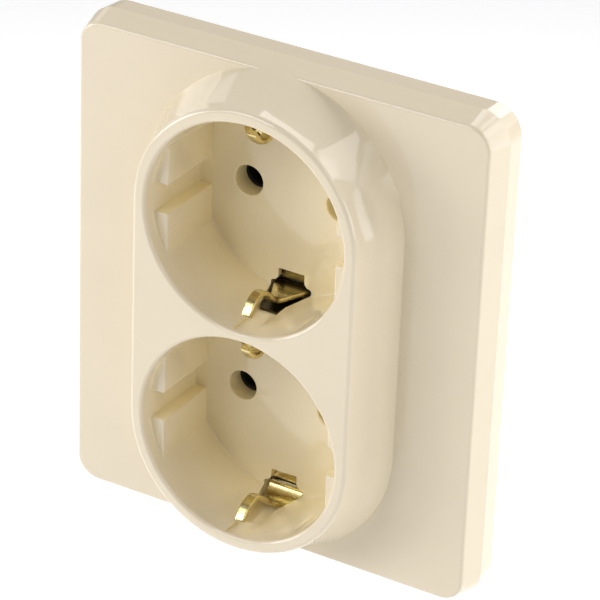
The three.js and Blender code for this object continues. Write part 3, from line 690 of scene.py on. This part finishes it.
def pin_hole(x, z):
    mouth = [
        (PIN_HOLE_RADIUS + PIN_HOLE_ROUND * (1 - math.sin(a)),
         FLOOR_FRONT + PIN_HOLE_ROUND * (1 - math.cos(a)))
        for a in quarter(PIN_HOLE_ROUND_STEPS)
    ]
    start = (PIN_HOLE_RADIUS + PIN_HOLE_ROUND, FLOOR_FRONT - CUT)
    return turned([start, *mouth, (PIN_HOLE_RADIUS, COLLAR_BACK + CUT)], PIN_HOLE_STEPS, x, z)


def front_cover():
    cover = join(plate_body(), boss_body())
    cover = cut(cover, plate_cavity(), boss_cavity())
    for sz in (-1, 1):
        z = sz * WELL_Z
        cover = join(cover, bar(0, z, WELL_TUBE_RADIUS, BOSS_CAVITY_FRONT - JOIN, FLOOR_BACK, WELL_STEPS))
        for sx in (-1, 1):
            cover = join(cover, bar(sx * PIN_OFFSET, z, COLLAR_RADIUS, FLOOR_BACK - JOIN, COLLAR_BACK))
    for sz in (-1, 1):
        z = sz * WELL_Z
        cover = cut(cover, well_cutter(z))
        for sx in (-1, 1):
            cover = join(cover, guide_block(sx, 1, z), guide_block(sx, -1, z))
        outward, inward = (0, math.pi) if sz > 0 else (math.pi, 0)
        cover = join(cover, moved(pocket_wall(), outward, z=z))
        cutters = [moved(c, outward, z=z) for c in contact_cutters(OUTER_POCKET_BACK)]
        cutters += [moved(c, inward, z=z) for c in contact_cutters(MIDDLE_POCKET_BACK)]
        cutters += [pin_hole(sx * PIN_OFFSET, z) for sx in (-1, 1)]
        cutters.append(bar(COVER_SCREW_X, z + COVER_SCREW_RISE, COVER_SCREW_HOLE,
                           FLOOR_FRONT - CUT, FLOOR_BACK + CUT))
        cover = cut(cover, *cutters)
    finished(cover, "cover_moulding", "socket", IVORY, "front_cover")


def pocket_shade_sheets():
    """Thin dark sheets on the end walls of the two middle pockets, behind the contacts' arms, put there as
    painted shade.
    """
    wide = WINDOW_ROOT_WIDTH / 2 - SHADE_SHEET_GAP
    half = CHANNEL_WIDTH / 2 - SHADE_SHEET_GAP
    outline = [
        (-wide, SHADE_SHEET_BACK), (-half, SLOT_END + SLOT_TAPER), (-half, SHADE_SHEET_FRONT),
        (half, SHADE_SHEET_FRONT), (half + SLOT_LEAN, SLOT_END + SLOT_TAPER), (wide, SHADE_SHEET_BACK),
    ]
    for well, sz in (("upper", 1), ("lower", -1)):
        shade_sheet = loft([[(x, y, z) for x, y in outline] for z in SHADE_SHEET_FACES])
        moved(shade_sheet, math.pi if sz > 0 else 0, z=sz * WELL_Z)
        finished(shade_sheet, f"pocket_shade_sheet_{well}", "socket", SHADE_BRASS)


# ---------------------------------------------------------------- spring strips
def smooth_line(points, steps):
    """Places and unit tangents along a smooth curve through the points."""
    ends = [points[0], *points, points[-1]]
    spans = len(points) - 1
    line = []
    for i in range(steps + 1):
        at = min(i / steps * spans, spans - 1e-6)
        start = int(at)
        t = at - start
        a, b, c, d = (Vector(p) for p in ends[start:start + 4])
        square = 2 * a - 5 * b + 4 * c - d
        cube = 3 * b - a - 3 * c + d
        place = 0.5 * (2 * b + (c - a) * t + square * t**2 + cube * t**3)
        tangent = 0.5 * ((c - a) + 2 * square * t + 3 * cube * t**2)
        line.append((place, tangent.normalized()))
    return line


def strip_section(width, thick, rounding):
    """A flat bar's section: points across its width and its thickness, with rounded corners."""
    section = []
    for su, sv, start in ((1, 1, 0), (-1, 1, 90), (-1, -1, 180), (1, -1, 270)):
        for i in range(STRIP_CORNER_STEPS + 1):
            a = math.radians(start + 90 * i / STRIP_CORNER_STEPS)
            section.append((su * (width / 2 - rounding) + rounding * math.cos(a),
                            sv * (thick / 2 - rounding) + rounding * math.sin(a)))
    return section


def strip(points, width_at, thick, put, rounding):
    """A bent strip of even thickness. width_at gives its width at a place on the line, and put turns the
    line's two coordinates and the sideways one into x, y and z."""
    rings = []
    line = smooth_line(points, STRIP_STEPS)
    for i, (place, tangent) in enumerate(line):
        tip = min(i, STRIP_STEPS - i)
        shrink = STRIP_ENDS[tip] if tip < len(STRIP_ENDS) else 1
        section = strip_section(width_at(place) * shrink, thick * shrink, rounding * shrink)
        rings.append([
            put(place.x - tangent.y * across, place.y + tangent.x * across, sideways)
            for sideways, across in section
        ])
    return loft(rings)


def clip_width(place):
    """Wide at the root, tapering to the narrow spring arm."""
    share = min(max((place.x - CLIP_TAPER_START) / CLIP_TAPER, 0), 1)
    return CLIP_WIDTH + (CLIP_ROOT_WIDTH - CLIP_WIDTH) * share


def earth_clips():
    for well, sz in (("upper", 1), ("lower", -1)):
        for place, line, turn in (("outer", OUTER_CLIP_LINE, sz < 0), ("inner", MIDDLE_CLIP_LINE, sz > 0)):
            name = f"earth_clip_{well}_{place}"
            arm = strip(line, clip_width, CLIP_THICK, lambda y, z, x: (x, y, z), 0.32)
            moved(arm, math.pi if turn else 0, z=sz * WELL_Z)
            finished(arm, f"{name}_spring", name, BRASS, name, smooth=50)


def contact_leaves():
    for pole, sx in (("line", -1), ("neutral", 1)):
        for well, sz in (("upper", 1), ("lower", -1)):
            for place, towards in (("inner", -sx), ("outer", sx)):
                name = f"{pole}_leaf_{well}_{place}"
                leaf = strip(LEAF_LINE, lambda spot: LEAF_WIDTH, LEAF_THICK,
                             lambda x, y, z: (towards * x, y, z), 0.2)
                shift = Vector((sx * PIN_OFFSET + towards * LEAF_OFFSET, BUS_FRONT, sz * WELL_Z))
                leaf.data.transform(Matrix.Translation(shift))
                finished(leaf, f"{name}_spring", name, BRASS, name, smooth=50)


# ---------------------------------------------------------------- screws
def threaded_screw(size, length, turn):
    """A domed cross-recessed screw along +y, its head's seat at y = 0, with thread rings on its shank."""
    radius, height, shank = size
    root = shank - THREAD_DEPTH
    profile = [(0, -height)]
    for a in quarter(HEAD_STEPS)[1:]:
        profile.append((radius * math.sin(a), -height + HEAD_CROWN * height * (1 - math.cos(a))))
    profile += [(radius + out, y) for out, y in HEAD_EDGE]
    profile.append((root, 0))
    y = THREAD_START
    while y + THREAD_PITCH < length - THREAD_END:
        profile.append((root, y))
        profile += [(shank, y + share * THREAD_PITCH) for share in THREAD_CREST]
        y += THREAD_PITCH
    profile += [(root, y), (shank - SCREW_POINT, length), (0, length)]
    screw = turned(profile, BAR_STEPS)
    depths = (-height - CUT, -height + CROSS_LIP, -height + CROSS_DEPTH * height)
    for angle in (turn, turn + math.pi / 2):
        arm = loft([
            cross_arm_ring(depth, share * radius, wide)
            for depth, (share, wide) in zip(depths, CROSS_ARMS)
        ])
        cut(screw, moved(arm, angle))
    return screw


def cross_arm_ring(depth, long, wide):
    return [(x, depth, z) for x, z in ((-long, -wide), (long, -wide), (long, wide), (-long, wide))]


def standing_screw(name, size, length, turn, place, material):
    """Makes a screw and stands it where its CAD node is."""
    made = threaded_screw(size, length, turn)
    made.data.transform(place)
    finished(made, f"{name}_threaded", name, material, name, smooth=40)


def cover_screws():
    for level, turn in COVER_SCREW_TURNS:
        name = f"cover_screw_{level}"
        low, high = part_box(name)
        seat = Vector((COVER_SCREW_X, low.y / MM + COVER_SCREW[1], (low.z + high.z) / 2 / MM))
        standing_screw(name, COVER_SCREW, high.y / MM - seat.y, turn,
                       Matrix.Translation(seat), YELLOW)


def claw_screws():
    for hand, turn in CLAW_SCREW_TURNS:
        name = f"claw_screw_{hand}"
        low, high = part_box(name)
        seat = Vector(((low.x + high.x) / 2 / MM, low.y / MM + CLAW_SCREW[1], 0))
        standing_screw(name, CLAW_SCREW, high.y / MM - seat.y, turn,
                       Matrix.Translation(seat), ZINC)


def terminal_screws():
    for pole, axis, sign in (("line", 0, 1), ("neutral", 0, -1), ("earth", 2, 1)):
        name = f"{pole}_terminal_screw"
        low, high = (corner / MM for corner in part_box(name))
        length = high[axis] - low[axis] - TERMINAL_SCREW[1]
        along = Vector((0, 0, 0))
        along[axis] = sign
        seat = (low + high) / 2
        seat[axis] = (high if sign < 0 else low)[axis] + sign * TERMINAL_SCREW[1]
        lying = along.to_track_quat("Y", "Z").to_matrix().to_4x4()
        standing_screw(name, TERMINAL_SCREW, length, TERMINAL_SCREW_TURN,
                       Matrix.Translation(seat) @ lying, ZINC)


# ---------------------------------------------------------------- stamped and moulded inner parts
def refined(node, rounding):
    """A copy of a CAD node with its faces cleaned, its hard edges rounded and its finish."""
    slot = next(part["material_slot"] for part in frame["record"]["subparts"] if part["node"] == node)
    body = next(name for name, nodes in frame["record"]["behaviour"]["bodies"].items() if node in nodes)
    copy = object_of(node, frame["nodes"][node].data.copy())
    copy.data.transform(Matrix.Scale(1 / MM, 4))
    bm = bmesh.new()
    bm.from_mesh(copy.data)
    bmesh.ops.remove_doubles(bm, verts=bm.verts, dist=1e-3)
    bmesh.ops.dissolve_limit(bm, angle_limit=math.radians(1), verts=bm.verts, edges=bm.edges)
    hard = [e for e in bm.edges if e.is_manifold and e.calc_face_angle() > math.radians(30)]
    bmesh.ops.bevel(bm, geom=hard, offset=rounding, segments=2, profile=0.5, affect="EDGES")
    bm.to_mesh(copy.data)
    bm.free()
    finished(copy, f"{node}_finished", body, FINISHES[slot], node, smooth=35)


def inner_parts():
    for node in ("base_housing", "rear_cover"):
        refined(node, MOULDED_EDGE)
    for node in ("mounting_strap", "earth_bridge", "line_bus", "neutral_bus"):
        refined(node, STAMPED_EDGE)
    for hand in ("left", "right"):
        refined(f"claw_{hand}", STAMPED_EDGE)
        refined(f"claw_pin_{hand}", TURNED_EDGE)
    for pole in ("line", "neutral", "earth"):
        refined(f"{pole}_clamp", STAMPED_EDGE)
    for level in ("upper", "lower"):
        refined(f"housing_rivet_{level}", TURNED_EDGE)
        refined(f"earth_rivet_{level}", STAMPED_EDGE)


front_cover()
pocket_shade_sheets()
earth_clips()
contact_leaves()
cover_screws()
claw_screws()
terminal_screws()
inner_parts()

# ---------------------------------------------------------------- floor, light and camera
LOOK_AZIMUTH = 29.67
LOOK_ELEVATION = 28.20
LOOK_ROLL = math.radians(-2.222)
CAMERA_PLACE = Vector((272.77, -478.45, 293.66)) * MM
CAMERA_LENS = 207.5
FLOOR_DROP = 0.3
FLOOR_HALF = 6.0


def studio_floor():
    level = cad_low.z - FLOOR_DROP
    corners = [
        (FLOOR_HALF * x, FLOOR_HALF * y, level)
        for x, y in ((-1, -1), (1, -1), (1, 1), (-1, 1))
    ]
    floor = solid(corners, [(0, 1, 2, 3)], "studio_floor")
    n = Nodes("floor_paper")
    n.set(Base_Color=(0.9, 0.9, 0.9, 1), Roughness=0.9, Emission_Color=(1, 1, 1, 1), Emission_Strength=0.3)
    floor.data.materials.append(n.material)


def heading(azimuth, elevation):
    """The direction of a place round the outlet, from straight in front, turning to its right."""
    a = math.radians(azimuth)
    e = math.radians(elevation)
    return Vector((math.sin(a) * math.cos(e), -math.cos(a) * math.cos(e), math.sin(e)))


def soft_light(name, azimuth, elevation, width, height, power):
    """A soft box one metre away, aimed at the outlet."""
    light = bpy.data.lights.new(name, "AREA")
    light.shape = "RECTANGLE"
    light.size = width
    light.size_y = height
    light.energy = power
    made = object_of(name, light)
    made.location = heading(azimuth, elevation)
    made.rotation_mode = "QUATERNION"
    made.rotation_quaternion = made.location.to_track_quat("Z", "Y")


def studio_world(strength):
    world = bpy.data.worlds.new("studio_world")
    world.use_nodes = True
    world.node_tree.nodes["Background"].inputs["Color"].default_value = (1, 1, 1, 1)
    world.node_tree.nodes["Background"].inputs["Strength"].default_value = strength
    bpy.context.scene.world = world


def camera():
    made = object_of("camera", bpy.data.cameras.new("camera"))
    made.data.lens = CAMERA_LENS
    made.data.sensor_width = 36
    made.data.clip_start = 0.01
    made.location = CAMERA_PLACE
    level = (-heading(LOOK_AZIMUTH, LOOK_ELEVATION)).to_track_quat("-Z", "Y")
    made.rotation_mode = "QUATERNION"
    made.rotation_quaternion = level @ Matrix.Rotation(-LOOK_ROLL, 3, "Z").to_quaternion()
    bpy.context.scene.camera = made


bpy.context.scene.view_settings.view_transform = "Standard"
studio_floor()
studio_world(0.15)
soft_light("front_left", 330, 32, 0.5, 0.5, 4.3)
soft_light("left_low", 300, 8, 0.5, 0.5, 5.9)
soft_light("right_front", 60, 32, 0.5, 0.5, 2.2)
soft_light("right_low", 90, 8, 0.4, 0.5, 3.4)
soft_light("right_back", 118, 20, 0.38, 1.4, 4.7)
soft_light("back_right", 150, 30, 1.0, 0.8, 2.6)
soft_light("back", 176, 46, 0.8, 0.7, 5.8)
soft_light("back_left", 252, 8, 0.6, 0.95, 1.5)
camera()
